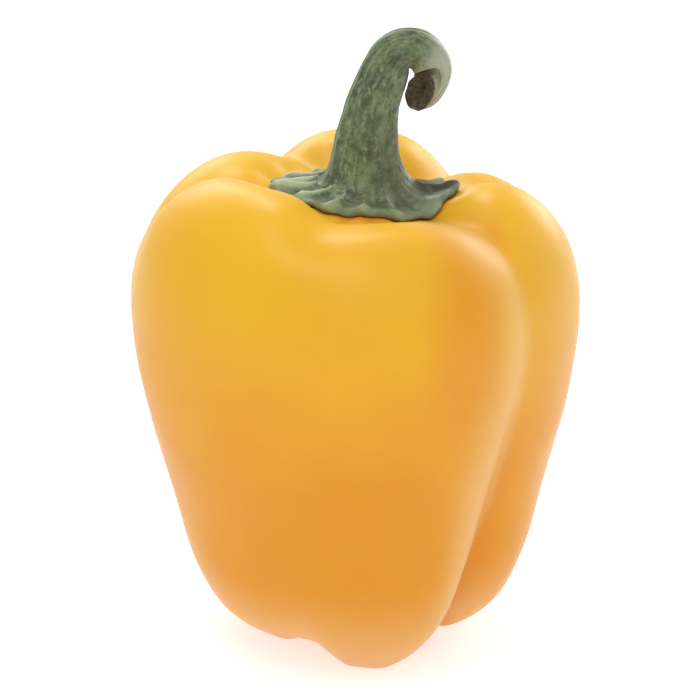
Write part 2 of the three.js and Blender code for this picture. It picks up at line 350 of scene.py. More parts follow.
def furrow_group():
    """How deep one furrow is at a place on the fruit."""
    tree, given, result = start_tree(
        "furrow",
        {"Bearing": ("Float", 0.0), "Along": ("Float", 0.0), "Rises": ("Vector", None),
         "Centre": ("Float", 0.0), "Slant": ("Float", 0.0), "Width": ("Float", 0.2),
         "First Depth": ("Float", 1.0), "Depth Steps": ("Vector", None)},
        {"Depth": "Float"})
    past = add(tree, MATH, (given["Along"], DEPTH_STATIONS[1]), operation="SUBTRACT")
    line = add(tree, MATH, (past, given["Slant"], given["Centre"]), operation="MULTIPLY_ADD")
    offset = add(tree, MATH, (given["Bearing"], line), operation="SUBTRACT")
    wrapped = add(tree, MATH, (offset, math.pi, -math.pi), operation="WRAP")
    away = add(tree, MATH, (wrapped, given["Width"]), operation="DIVIDE")
    squared = add(tree, MATH, (away, away, FURROW_ROUNDING ** 2), operation="MULTIPLY_ADD")
    spread = add(tree, MATH, (squared,), operation="SQRT")
    fall = add(tree, MATH, (FURROW_ROUNDING, spread), operation="SUBTRACT")
    closeness = add(tree, MATH, (fall,), operation="EXPONENT")
    steps = add(tree, VECTOR, (given["Rises"], given["Depth Steps"]), operation="DOT_PRODUCT")
    here = add(tree, MATH, (steps.outputs["Value"], given["First Depth"]), operation="ADD")
    depth = add(tree, MATH, (closeness, here), operation="MULTIPLY")
    tree.links.new(result_of(depth), result["Depth"])
    return tree


def furrow_depth(tree, furrow, bearing, along):
    """All furrows' depths added up: 0 on a lobe's crown, 1 on the furrow outline."""
    rises = add(tree, "ShaderNodeCombineXYZ", [
        add(tree, RANGE, {"Value": along, "From Min": start, "From Max": end},
            interpolation_type="SMOOTHSTEP")
        for start, end in zip(DEPTH_STATIONS, DEPTH_STATIONS[1:])])
    total = 0.0
    for centre, slant, width, depths in FURROWS:
        steps = [after - before for before, after in zip(depths, depths[1:])]
        one = add(tree, GROUP, {
            "Bearing": bearing, "Along": along, "Rises": rises, "Centre": math.radians(centre),
            "Slant": math.radians(slant), "Width": math.radians(width),
            "First Depth": depths[0], "Depth Steps": steps}, node_tree=furrow)
        total = add(tree, MATH, (total, one), operation="ADD")
    return total


def lobe_values(tree, nearness, bearing):
    """The lobes' reach, shoulder and toe blended at a bearing, as one vector."""
    weights, total = 0.0, (0.0, 0.0, 0.0)
    for centre, *values in LOBES:
        weight = add(tree, GROUP, {"Bearing": bearing, "Centre": math.radians(centre),
                                   "Focus": LOBE_FOCUS}, node_tree=nearness)
        share = add(tree, VECTOR, {"Vector": values, "Scale": weight}, operation="SCALE")
        weights = add(tree, MATH, (weights, weight), operation="ADD")
        total = add(tree, VECTOR, (total, share), operation="ADD")
    part = add(tree, MATH, (1.0, weights), operation="DIVIDE")
    return add(tree, VECTOR, {"Vector": total, "Scale": part}, operation="SCALE")


def fruit_tree(nearness, hump, furrow):
    """The fruit: a grid of bearings and places along the outlines, bent into its skin."""
    tree, given, result = start_tree(
        "bell_pepper_fruit",
        {"Lobe Outline": ("Object", None), "Furrow Outline": ("Object", None),
         "Bearings": ("Int", 64), "Bands": ("Int", 48), "Foot Sink": ("Float", 1.0),
         "Undulation": ("Float", 0.3), "Undulation Spacing": ("Float", 25.0),
         "Dimpling": ("Float", 0.05), "Dimpling Spacing": ("Float", 4.0),
         "Skin": ("Material", None)},
        {"Fruit": "Geometry"})
    grid = add(tree, "GeometryNodeMeshGrid", {
        "Size X": 1.0, "Size Y": 1.0, "Vertices X": given["Bearings"],
        "Vertices Y": given["Bands"]})
    place = add(tree, "ShaderNodeSeparateXYZ", (add(tree, "GeometryNodeInputPosition"),))
    bearing = add(tree, MATH, (place.outputs["X"], 2 * math.pi), operation="MULTIPLY")
    along = add(tree, MATH, (0.5, place.outputs["Y"]), operation="SUBTRACT")

    depth = furrow_depth(tree, furrow, bearing, along)
    crown, bottom = (
        add(tree, "GeometryNodeSampleCurve",
            {"Curves": smooth_curve(tree, given[name]), "Factor": along}, mode="FACTOR")
        for name in ("Lobe Outline", "Furrow Outline"))
    section = add(tree, "ShaderNodeMix", {
        "Factor": depth, "A": crown.outputs["Position"], "B": bottom.outputs["Position"]},
        data_type="VECTOR", clamp_factor=False)
    section = add(tree, "ShaderNodeSeparateXYZ", (section,))
    values = add(tree, "ShaderNodeSeparateXYZ", (lobe_values(tree, nearness, bearing),))
    radius = add(tree, MATH, (section.outputs["X"], values.outputs["X"]), operation="MULTIPLY")
    height = add(tree, MATH, (section.outputs["Z"], given["Foot Sink"]), operation="SUBTRACT")
    for value, span in (("Y", SHOULDER_SPAN), ("Z", TOE_SPAN)):
        share = add(tree, GROUP, (along, *span), node_tree=hump)
        height = add(tree, MATH, (share, values.outputs[value], height), operation="MULTIPLY_ADD")

    # Small folds of skin run out from under the calyx, and the scar is a low corky ring.
    fold_bearing = add(tree, MATH, (bearing, PUCKERS), operation="MULTIPLY")
    fold = add(tree, MATH, (fold_bearing,), operation="SINE")
    near_calyx = add(tree, GROUP, (radius, *PUCKER_SPAN), node_tree=hump)
    fold = add(tree, MATH, (fold, near_calyx), operation="MULTIPLY")
    height = add(tree, MATH, (fold, PUCKER_HEIGHT, height), operation="MULTIPLY_ADD")
    underneath = add(tree, MATH, (along, UNDERSIDE_START), operation="GREATER_THAN")
    ring = add(tree, GROUP, (radius, *SCAR_RING), node_tree=hump)
    scar = smooth_range(tree, radius, (SCAR_RADIUS, SCAR_RING[2]))
    scar = add(tree, MATH, (scar, underneath), operation="MULTIPLY")
    ring = add(tree, MATH, (ring, underneath), operation="MULTIPLY")
    height = add(tree, MATH, (ring, -SCAR_HEIGHT, height), operation="MULTIPLY_ADD")

    east = add(tree, MATH, (radius, add(tree, MATH, (bearing,), operation="SINE")),
               operation="MULTIPLY")
    south = add(tree, MATH, (radius, add(tree, MATH, (bearing,), operation="COSINE")),
                operation="MULTIPLY")
    north = add(tree, MATH, (south, -1.0), operation="MULTIPLY")
    spot = add(tree, "ShaderNodeCombineXYZ", (east, north, height))
    shape = add(tree, "GeometryNodeStoreNamedAttribute", {
        "Geometry": grid.outputs["Mesh"], "Name": "furrow", "Value": depth}, data_type="FLOAT")
    shape = add(tree, "GeometryNodeStoreNamedAttribute", {
        "Geometry": shape, "Name": "scar", "Value": scar}, data_type="FLOAT")
    shape = add(tree, "GeometryNodeSetPosition", {"Geometry": shape, "Position": spot})
    shape = add(tree, "GeometryNodeMergeByDistance", {
        "Geometry": shape, "Distance": MERGE_DISTANCE})

    relief = 0.0
    for size, spacing in (("Undulation", "Undulation Spacing"), ("Dimpling", "Dimpling Spacing")):
        scale = add(tree, MATH, (1.0, given[spacing]), operation="DIVIDE")
        noise = add(tree, "ShaderNodeTexNoise", {"Scale": scale, "Detail": 1.0})
        centred = add(tree, MATH, (noise, 0.5), operation="SUBTRACT")
        doubled = add(tree, MATH, (given[size], 2.0), operation="MULTIPLY")
        relief = add(tree, MATH, (centred, doubled, relief), operation="MULTIPLY_ADD")
    push = add(tree, VECTOR, {"Vector": add(tree, "GeometryNodeInputNormal"), "Scale": relief},
               operation="SCALE")
    shape = add(tree, "GeometryNodeSetPosition", {"Geometry": shape, "Offset": push})
    # The toes are pressed flat where they rest.
    floor_level = add(tree, VECTOR, (add(tree, "GeometryNodeInputPosition"), (-1e3, -1e3, 0.0)),
                      operation="MAXIMUM")
    shape = add(tree, "GeometryNodeSetPosition", {"Geometry": shape, "Position": floor_level})
    finish_tree(tree, shape, given["Skin"], result["Fruit"])
    return tree


def finish_tree(tree, shape, material, output):
    """The last steps of a piece's tree: metres, smooth shading and its material."""
    shape = add(tree, "GeometryNodeTransform", {"Geometry": shape, "Scale": (MM, MM, MM)})
    shape = add(tree, "GeometryNodeSetShadeSmooth", {"Geometry": shape})
    shape = add(tree, "GeometryNodeRealizeInstances", {"Geometry": shape})
    shape = add(tree, "GeometryNodeSetMaterial", {"Geometry": shape, "Material": material})
    tree.links.new(shape.outputs["Geometry"], output)


def stem_point(tree, centreline, length, nearness, bearing, along):
    """The stem's skin at a bearing and a place along its centreline, whose length is given."""
    at = add(tree, "GeometryNodeSampleCurve", {"Curves": centreline, "Length": along},
             mode="LENGTH")
    forward = at.outputs["Tangent"]
    right = add(tree, VECTOR, ((0, 1, 0), forward), operation="CROSS_PRODUCT")
    right = add(tree, VECTOR, (right,), operation="NORMALIZE")
    back = add(tree, VECTOR, (forward, right), operation="CROSS_PRODUCT")
    sine = add(tree, MATH, (bearing,), operation="SINE")
    cosine = add(tree, MATH, (bearing,), operation="COSINE")
    spoke = add(tree, VECTOR, {"Vector": right, "Scale": sine}, operation="SCALE")
    across = add(tree, VECTOR, {"Vector": back, "Scale": cosine}, operation="SCALE")
    spoke = add(tree, VECTOR, (spoke, across), operation="SUBTRACT")

    share = add(tree, MATH, (along, STEM_RADII[-1][0]), operation="DIVIDE")
    radius = add(tree, "ShaderNodeFloatCurve", {"Value": share})
    draw_radii(radius.mapping)
    radius = add(tree, MATH, (radius, STEM_RADII[0][1]), operation="MULTIPLY")
    relief = smooth_range(tree, along, RIDGE_SPAN, (STEM_RIDGE, STEM_RIDGE * RIDGE_LEFT))
    turn = add(tree, MATH, (along, STEM_TWIST), operation="MULTIPLY")
    turn = add(tree, MATH, (bearing, STEM_FACETS, turn), operation="MULTIPLY_ADD")
    wave = add(tree, MATH, (turn,), operation="COSINE")
    ridges = add(tree, MATH, (wave, relief, 1.0), operation="MULTIPLY_ADD")
    inside = add(tree, GROUP, {"Bearing": bearing, "Centre": math.radians(HOOK_INSIDE),
                               "Focus": PINCH_FOCUS}, node_tree=nearness)
    pinch = smooth_range(tree, along, HOOK_SPAN, (0, PINCH))
    pinch = add(tree, MATH, (pinch, inside), operation="MULTIPLY")
    pinch = add(tree, MATH, (1.0, pinch), operation="SUBTRACT")
    reach = add(tree, MATH, (radius, ridges), operation="MULTIPLY")
    reach = add(tree, MATH, (reach, pinch), operation="MULTIPLY")
    spoke = add(tree, VECTOR, {"Vector": spoke, "Scale": reach}, operation="SCALE")

    end = add(tree, "GeometryNodeSampleCurve", {"Curves": centreline, "Factor": 1.0},
              mode="FACTOR").outputs["Tangent"]
    lean = smooth_range(tree, along, (LEAN_START, length))
    turned = add(tree, VECTOR, (tuple(CUT_FACING), end), operation="SUBTRACT")
    facing = add(tree, VECTOR, {"Vector": turned, "Scale": lean}, operation="SCALE")
    facing = add(tree, VECTOR, (facing, forward), operation="ADD")
    over = add(tree, VECTOR, (spoke, facing), operation="DOT_PRODUCT").outputs["Value"]
    ahead = add(tree, VECTOR, (forward, facing), operation="DOT_PRODUCT").outputs["Value"]
    slide = add(tree, MATH, (over, ahead), operation="DIVIDE")
    slide = add(tree, VECTOR, {"Vector": forward, "Scale": slide}, operation="SCALE")
    spoke = add(tree, VECTOR, (spoke, slide), operation="SUBTRACT")
    return add(tree, VECTOR, (at.outputs["Position"], spoke), operation="ADD")


def draw_radii(mapping):
    """Puts the stem's radii into a curve, as shares of its length and of the foot's radius."""
    curve = mapping.curves[0]
    end, foot_radius = STEM_RADII[-1][0], STEM_RADII[0][1]
    places = [(along / end, radius / foot_radius) for along, radius in STEM_RADII]
    for point, place in zip(curve.points, (places[0], places[-1])):
        point.location = place
    for place in places[1:-1]:
        curve.points.new(*place)
    mapping.update()


def plain_range(tree, value, span, results=(0, 1), **settings):
    """A value's even way over a span, from one result to another."""
    return add(tree, RANGE, {"Value": value, "From Min": span[0], "From Max": span[1],
                             "To Min": results[0], "To Max": results[1]}, **settings)


def smooth_range(tree, value, span, results=(0, 1)):
    """The same, with a smooth start and end."""
    return plain_range(tree, value, span, results, interpolation_type="SMOOTHSTEP")


def even_noise(tree, place, spacing, detail):
    """Noise whose features are a spacing apart, in the units of the place."""
    return add(tree, "ShaderNodeTexNoise", {
        "Vector": place, "Scale": 1 / spacing, "Detail": detail})


def fibre_noise(tree, fibre, rates, detail, roughness=0.5):
    """Noise that follows the stem's fibres, with its rates round the stem and along it."""
    place = add(tree, VECTOR, (fibre, rates), operation="MULTIPLY")
    return add(tree, "ShaderNodeTexNoise", {
        "Vector": place, "Scale": 1.0, "Detail": detail, "Roughness": roughness})


def fruit_top(tree, fruit, spot):
    """The height of the fruit's skin over a spot."""
    start = add(tree, VECTOR, (spot, (1, 1, 0)), operation="MULTIPLY")
    start = add(tree, VECTOR, (start, (0, 0, 2 * FRUIT_HEIGHT)), operation="ADD")
    hit = add(tree, "GeometryNodeRaycast", {
        "Target Geometry": fruit, "Source Position": start, "Ray Direction": (0, 0, -1),
        "Ray Length": 2 * FRUIT_HEIGHT})
    height = add(tree, "ShaderNodeSeparateXYZ", (hit.outputs["Hit Position"],))
    return height.outputs["Z"]


def stem_tree(nearness, hump):
    """The calyx and the stem: one grid that runs from the calyx's underside over its edge, up the
    stem and over the cut to its middle."""
    tree, given, result = start_tree(
        "bell_pepper_stem",
        {"Fruit": ("Object", None), "Centreline": ("Object", None),
         "Calyx Section": ("Object", None), "Bearings": ("Int", 64), "Calyx Rows": ("Int", 30),
         "Stem Rows": ("Int", 40), "Cut Rows": ("Int", 8), "Calyx Radius": ("Float", 14.0),
         "Tip Reach": ("Float", 3.0), "Rib Height": ("Float", 1.0), "Ragged Edge": ("Float", 2.0),
         "Cut Dish": ("Float", 1.0), "Seat Gap": ("Float", 0.1), "Green": ("Material", None)},
        {"Stem": "Geometry"})
    body_rows = add(tree, MATH, (given["Calyx Rows"], given["Stem Rows"]), operation="ADD")
    rows = add(tree, MATH, (body_rows, given["Cut Rows"]), operation="ADD")
    grid = add(tree, "GeometryNodeMeshGrid", {
        "Size X": 1.0, "Size Y": 1.0, "Vertices X": given["Bearings"], "Vertices Y": rows})
    place = add(tree, "ShaderNodeSeparateXYZ", (add(tree, "GeometryNodeInputPosition"),))
    bearing = add(tree, MATH, (place.outputs["X"], 2 * math.pi), operation="MULTIPLY")
    up = add(tree, MATH, (place.outputs["Y"], 0.5), operation="ADD")
    row = add(tree, MATH, (up, rows), operation="MULTIPLY")
    on_calyx = add(tree, RANGE, {"Value": row, "From Max": given["Calyx Rows"]})
    on_stem = add(tree, RANGE, {"Value": row, "From Min": given["Calyx Rows"],
                                "From Max": body_rows})
    on_cut = add(tree, RANGE, {"Value": row, "From Min": body_rows, "From Max": rows})
    fruit = add(tree, "GeometryNodeObjectInfo", {"Object": given["Fruit"]})
    fruit = add(tree, "GeometryNodeTransform", {
        "Geometry": fruit.outputs["Geometry"], "Scale": (1 / MM, 1 / MM, 1 / MM)})
    middle = (*CALYX_CENTRE, 0)
    seat = add(tree, MATH, (fruit_top(tree, fruit, middle), given["Seat Gap"]), operation="ADD")

    section = add(tree, "GeometryNodeSampleCurve", {
        "Curves": smooth_curve(tree, given["Calyx Section"]), "Factor": on_calyx}, mode="FACTOR")
    section = add(tree, "ShaderNodeSeparateXYZ", (section.outputs["Position"],))
    out, relief, rise = (section.outputs[axis] for axis in "XYZ")
    tips = 0.0
    for tip in TIP_BEARINGS:
        near = add(tree, GROUP, {"Bearing": bearing, "Centre": math.radians(tip),
                                 "Focus": TIP_FOCUS}, node_tree=nearness)
        tips = add(tree, MATH, (tips, near), operation="ADD")
    tips = add(tree, MATH, (tips, 1.0), operation="MINIMUM")
    edge = add(tree, MATH, (tips, given["Tip Reach"], given["Calyx Radius"]),
               operation="MULTIPLY_ADD")
    sine = add(tree, MATH, (bearing,), operation="SINE")
    cosine = add(tree, MATH, (bearing,), operation="COSINE")
    north = add(tree, MATH, (cosine, -1.0), operation="MULTIPLY")
    outward = add(tree, "ShaderNodeCombineXYZ", (sine, north))
    tear = add(tree, "ShaderNodeTexNoise", {"Vector": outward, "Scale": TEAR_RATE, "Detail": 2.0})
    tear = add(tree, MATH, (tear, 0.5), operation="SUBTRACT")
    edge = add(tree, MATH, (tear, given["Ragged Edge"], edge), operation="MULTIPLY_ADD")
    to_foot = smooth_range(tree, on_calyx, FOOT_ROWS)
    widening = add(tree, MATH, (edge, SECTION_SCALE), operation="DIVIDE")
    ridge = add(tree, MATH, (bearing, STEM_FACETS, FOOT_START * STEM_TWIST),
                operation="MULTIPLY_ADD")
    ridge = add(tree, MATH, (ridge,), operation="COSINE")
    ridge = add(tree, MATH, (ridge, STEM_RIDGE, 1.0), operation="MULTIPLY_ADD")
    widening = add(tree, "ShaderNodeMix", {"Factor": to_foot, "A": widening, "B": ridge},
                   data_type="FLOAT")
    reach = add(tree, MATH, (out, widening), operation="MULTIPLY")
    spot = add(tree, VECTOR, {"Vector": outward, "Scale": reach}, operation="SCALE")
    oval = add(tree, "ShaderNodeMix", {"Factor": to_foot, "A": CALYX_OVAL, "B": 1.0},
               data_type="FLOAT")
    oval = add(tree, "ShaderNodeCombineXYZ", (1.0, oval, 1.0))
    spot = add(tree, VECTOR, (spot, oval), operation="MULTIPLY")
    spot = add(tree, VECTOR, (spot, middle), operation="ADD")

    strong = add(tree, GROUP, {"Bearing": bearing, "Centre": math.radians(RIBS_STRONGEST),
                               "Focus": RIBS_FOCUS}, node_tree=nearness)
    strength = plain_range(tree, strong, (0, 1), RIB_STRENGTHS)
    wander = 0.0
    for shift, waves, start in RIB_WAVES:
        wave = add(tree, MATH, (bearing, waves, start), operation="MULTIPLY_ADD")
        wave = add(tree, MATH, (wave,), operation="SINE")
        wander = add(tree, MATH, (wave, shift, wander), operation="MULTIPLY_ADD")
    turn = add(tree, MATH, (bearing, RIBS, wander), operation="MULTIPLY_ADD")
    ribs = add(tree, MATH, (turn,), operation="COSINE")
    ribs = add(tree, MATH, (ribs, 0.5, 0.5), operation="MULTIPLY_ADD")
    ribs = add(tree, MATH, (ribs, RIB_SHARPNESS), operation="POWER")
    ribs = add(tree, MATH, (ribs, relief), operation="MULTIPLY")
    height = add(tree, MATH, (ribs, strength), operation="MULTIPLY")
    fin = add(tree, GROUP, {"Bearing": bearing, "Centre": math.radians(FIN_BEARING),
                            "Focus": FIN_FOCUS}, node_tree=nearness)
    fin = add(tree, MATH, (fin, relief), operation="MULTIPLY")
    above = add(tree, MATH, (height, given["Rib Height"], rise), operation="MULTIPLY_ADD")
    above = add(tree, MATH, (fin, FIN_HEIGHT, above), operation="MULTIPLY_ADD")
    seated = add(tree, MATH, (fruit_top(tree, fruit, spot), given["Seat Gap"]), operation="ADD")
    above = add(tree, MATH, (above, seated), operation="ADD")
    above = add(tree, "ShaderNodeCombineXYZ", (0.0, 0.0, above))
    calyx_spot = add(tree, VECTOR, (spot, above), operation="ADD")

    centreline = smooth_curve(tree, given["Centreline"])
    length = add(tree, "GeometryNodeCurveLength", {"Curve": centreline}).outputs["Length"]
    along = add(tree, RANGE, {"Value": on_stem, "To Min": FOOT_START, "To Max": length})
    stem_spot = stem_point(tree, centreline, length, nearness, bearing, along)
    stem_spot = add(tree, VECTOR, (stem_spot, middle), operation="ADD")
    fall = smooth_range(tree, along, FOOT_SPAN, (1, 0))
    local = add(tree, MATH, (fruit_top(tree, fruit, stem_spot), given["Seat Gap"]),
                operation="ADD")
    slope = add(tree, "ShaderNodeMix", {"Factor": fall, "A": seat, "B": local},
                data_type="FLOAT")
    slope = add(tree, "ShaderNodeCombineXYZ", (0.0, 0.0, slope))
    stem_spot = add(tree, VECTOR, (stem_spot, slope), operation="ADD")

    end = add(tree, "GeometryNodeSampleCurve", {"Curves": centreline, "Factor": 1.0},
              mode="FACTOR")
    cut_middle = add(tree, VECTOR, (end.outputs["Position"], middle), operation="ADD")
    seat_height = add(tree, "ShaderNodeCombineXYZ", (0.0, 0.0, seat))
    cut_middle = add(tree, VECTOR, (cut_middle, seat_height), operation="ADD")
    stem_spot = add(tree, "ShaderNodeMix", {
        "Factor": on_cut, "A": stem_spot, "B": cut_middle}, data_type="VECTOR")
    lip = add(tree, GROUP, (on_cut, *LIP_SPAN), node_tree=hump)
    lip = add(tree, MATH, (lip, CUT_LIP), operation="MULTIPLY")
    dish = smooth_range(tree, on_cut, DISH_SPAN)
    dish = add(tree, MATH, (dish, given["Cut Dish"]), operation="MULTIPLY")
    dish = add(tree, MATH, (lip, dish), operation="SUBTRACT")
    dish = add(tree, VECTOR, {"Vector": tuple(CUT_FACING), "Scale": dish}, operation="SCALE")
    stem_spot = add(tree, VECTOR, (stem_spot, dish), operation="ADD")

    past_calyx = add(tree, MATH, (row, given["Calyx Rows"]), operation="GREATER_THAN")
    spot = add(tree, "ShaderNodeMix", {
        "Factor": past_calyx, "A": calyx_spot, "B": stem_spot}, data_type="VECTOR")
    shape = grid.outputs["Mesh"]
    calyx_run = add(tree, RANGE, {"Value": on_calyx, "To Min": -2 * SECTION_SCALE, "To Max": 0.0})
    run = add(tree, MATH, (calyx_run, along), operation="ADD")
    fibre = add(tree, "ShaderNodeCombineXYZ", (sine, north, run))
    for name, value in (("rib", height), ("cut", on_cut), ("fin", fin)):
        shape = add(tree, "GeometryNodeStoreNamedAttribute", {
            "Geometry": shape, "Name": name, "Value": value}, data_type="FLOAT")
    shape = add(tree, "GeometryNodeStoreNamedAttribute", {
        "Geometry": shape, "Name": "fibre", "Value": fibre}, data_type="FLOAT_VECTOR")
    shape = add(tree, "GeometryNodeSetPosition", {"Geometry": shape, "Position": spot})
    shape = add(tree, "GeometryNodeMergeByDistance", {
        "Geometry": shape, "Distance": MERGE_DISTANCE})

    fibre = add(tree, "GeometryNodeInputNamedAttribute", {"Name": "fibre"},
                data_type="FLOAT_VECTOR")
    relief = 0.0
    for size, rates in STEM_RELIEF:
        centred = add(tree, MATH, (fibre_noise(tree, fibre, rates, 1.5), 0.5),
                      operation="SUBTRACT")
        relief = add(tree, MATH, (centred, 2 * size, relief), operation="MULTIPLY_ADD")
    push = add(tree, VECTOR, {"Vector": add(tree, "GeometryNodeInputNormal"), "Scale": relief},
               operation="SCALE")
    shape = add(tree, "GeometryNodeSetPosition", {"Geometry": shape, "Offset": push})
    finish_tree(tree, shape, given["Green"], result["Stem"])
    return tree


def colour(hex_code):
    """An sRGB hex colour as linear red, green, blue and alpha."""
    parts = [int(hex_code[start:start + 2], 16) / 255 for start in (1, 3, 5)]
    linear = [part / 12.92 if part <= 0.04045 else ((part + 0.055) / 1.055) ** 2.4
              for part in parts]
    return (*linear, 1.0)


def start_material(name):
    """A material with its node tree, its shader and its Object coordinates in millimetres."""
    material = bpy.data.materials.new(name)
    material.use_nodes = True
    tree = material.node_tree
    tree.nodes.clear()
    output = add(tree, "ShaderNodeOutputMaterial")
    shader = add(tree, "ShaderNodeBsdfPrincipled")
    tree.links.new(shader.outputs["BSDF"], output.inputs["Surface"])
    place = add(tree, "ShaderNodeTexCoord").outputs["Object"]
    place = add(tree, VECTOR, {"Vector": place, "Scale": 1 / MM}, operation="SCALE")
    return material, tree, shader, place.outputs["Vector"]


def paint(tree, base, layers):
    """Lays colours over a base one after the other, each with the share of it that covers."""
    for share, hex_code in layers:
        base = add(tree, "ShaderNodeMix", {"Factor": share, "A": base, "B": colour(hex_code)},
                   data_type="RGBA")
    return base


def product(tree, *shares):
    """Several shares multiplied with each other."""
    result = shares[0]
    for share in shares[1:]:
        result = add(tree, MATH, (result, share), operation="MULTIPLY")
    return result


def waxy_pepper_skin():
    """A ripe pepper's skin: coloured flesh just under a clear, waxy cuticle. The light goes a few
    millimetres into it, and the wax gives it soft-edged highlights. It ripens unevenly, from
    yellow at the shoulders to orange below. Its right side and its toes are painted paler, as a
    painted reflection and as painted light bounced up from the floor, its bank down to the right
    furrow carries a painted reflection, and its furrows are darkened with painted shade."""
    material, tree, shader, place = start_material("waxy_pepper_skin")
    spot = add(tree, "ShaderNodeSeparateXYZ", (place,))
    east, north, height = (spot.outputs[axis] for axis in "XYZ")
    furrow = add(tree, "ShaderNodeAttribute", attribute_name="furrow")
    scar = add(tree, "ShaderNodeAttribute", attribute_name="scar")

    patches = even_noise(tree, place, RIPE_PATCH_SPACING, 2)
    patches = plain_range(tree, patches, (0.3, 0.7), (-RIPE_PATCHINESS, RIPE_PATCHINESS))
    sideways = plain_range(tree, east, RIPER_TO_THE_RIGHT, SIDES_RIPENESS, clamp=False)
    ripeness = smooth_range(tree, height, RIPENING_SPAN, (0, 0.8))
    ripeness = add(tree, MATH, (ripeness, sideways), operation="ADD")
    ripeness = add(tree, MATH, (ripeness, patches), operation="ADD", use_clamp=True)
    base = add(tree, "ShaderNodeMix", {"Factor": ripeness, "A": colour("#e8b824"),
                                       "B": colour("#da901a")}, data_type="RGBA")

    # The front lobe's right flank is a deeper orange high up, and its bank down to the right
    # furrow has a pale painted reflection all the way.
    blush = product(
        tree,
        smooth_range(tree, east, FLANK_FROM_LEFT),
        smooth_range(tree, east, FLANK_FROM_RIGHT),
        smooth_range(tree, north, FLANK_FROM_BACK),
        smooth_range(tree, height, FLANK_FROM_BELOW, (0, 0.5)))
    south = add(tree, MATH, (north, -1.0), operation="MULTIPLY")
    bearing = add(tree, MATH, (east, south), operation="ARCTAN2")
    painted_bank_reflection = product(
        tree,
        *(smooth_range(tree, bearing, [math.radians(end) for end in ends])
          for ends in (PAINTED_BANK_FROM_RIGHT, PAINTED_BANK_FROM_LEFT)),
        smooth_range(tree, furrow, PAINTED_BANK_FURROW, (0, 0.45)))

    from_calyx = add(tree, VECTOR, (place, (*CALYX_CENTRE, 0)), operation="SUBTRACT")
    from_calyx = add(tree, VECTOR, (from_calyx, (1, 1 / CALYX_OVAL, 0)), operation="MULTIPLY")
    from_calyx = add(tree, VECTOR, (from_calyx,), operation="LENGTH").outputs["Value"]
    specks = even_noise(tree, place, SPECK_SPACING, 2)
    specks = plain_range(tree, specks, (0.55, 0.75), (0, 0.08))
    base = paint(tree, base, (
        (smooth_range(tree, east, RIGHT_SIDE_PAINTED_REFLECTION, (0, 0.2)), "#dcb478"),  # the right side, painted paler as a painted reflection
        (smooth_range(tree, height, TOES_PAINTED_BOUNCE, (0, 0.75)), "#e4b070"),  # the toes, painted paler as light bounced up from the floor
        (blush, "#d98724"),
        # a painted reflection, pale, along the bank of the right furrow
        (painted_bank_reflection, "#e0b668"),
        (smooth_range(tree, from_calyx, ROUND_CALYX, (0, 0.6)), "#e08a2c"),
        # painted shade, darker orange down in the furrows
        (smooth_range(tree, furrow, FURROW_PAINTED_SHADE, (0, 0.3)), "#d47c12"),
        (specks, "#e6b440"),
        (scar, "#8a6a3c")))
    tree.links.new(result_of(base), shader.inputs["Base Color"])

    wax = even_noise(tree, place, WAX_SPACING, 3)
    rough = plain_range(tree, wax, (0.3, 0.7), SKIN_ROUGHNESS)
    tree.links.new(result_of(rough), shader.inputs["Roughness"])
    grain = even_noise(tree, place, SKIN_GRAIN_SPACING, 2)
    bump = add(tree, "ShaderNodeBump", {
        "Strength": 0.25, "Distance": SKIN_GRAIN_DEPTH * MM, "Height": grain})
    tree.links.new(bump.outputs["Normal"], shader.inputs["Normal"])
    for name, value in (("Subsurface Weight", 0.25), ("Subsurface Radius", (1.0, 0.45, 0.12)),
                        ("Subsurface Scale", LIGHT_DEPTH * MM), ("Specular IOR Level", 0.3),
                        ("IOR", 1.46)):
        shader.inputs[name].default_value = value
    return material


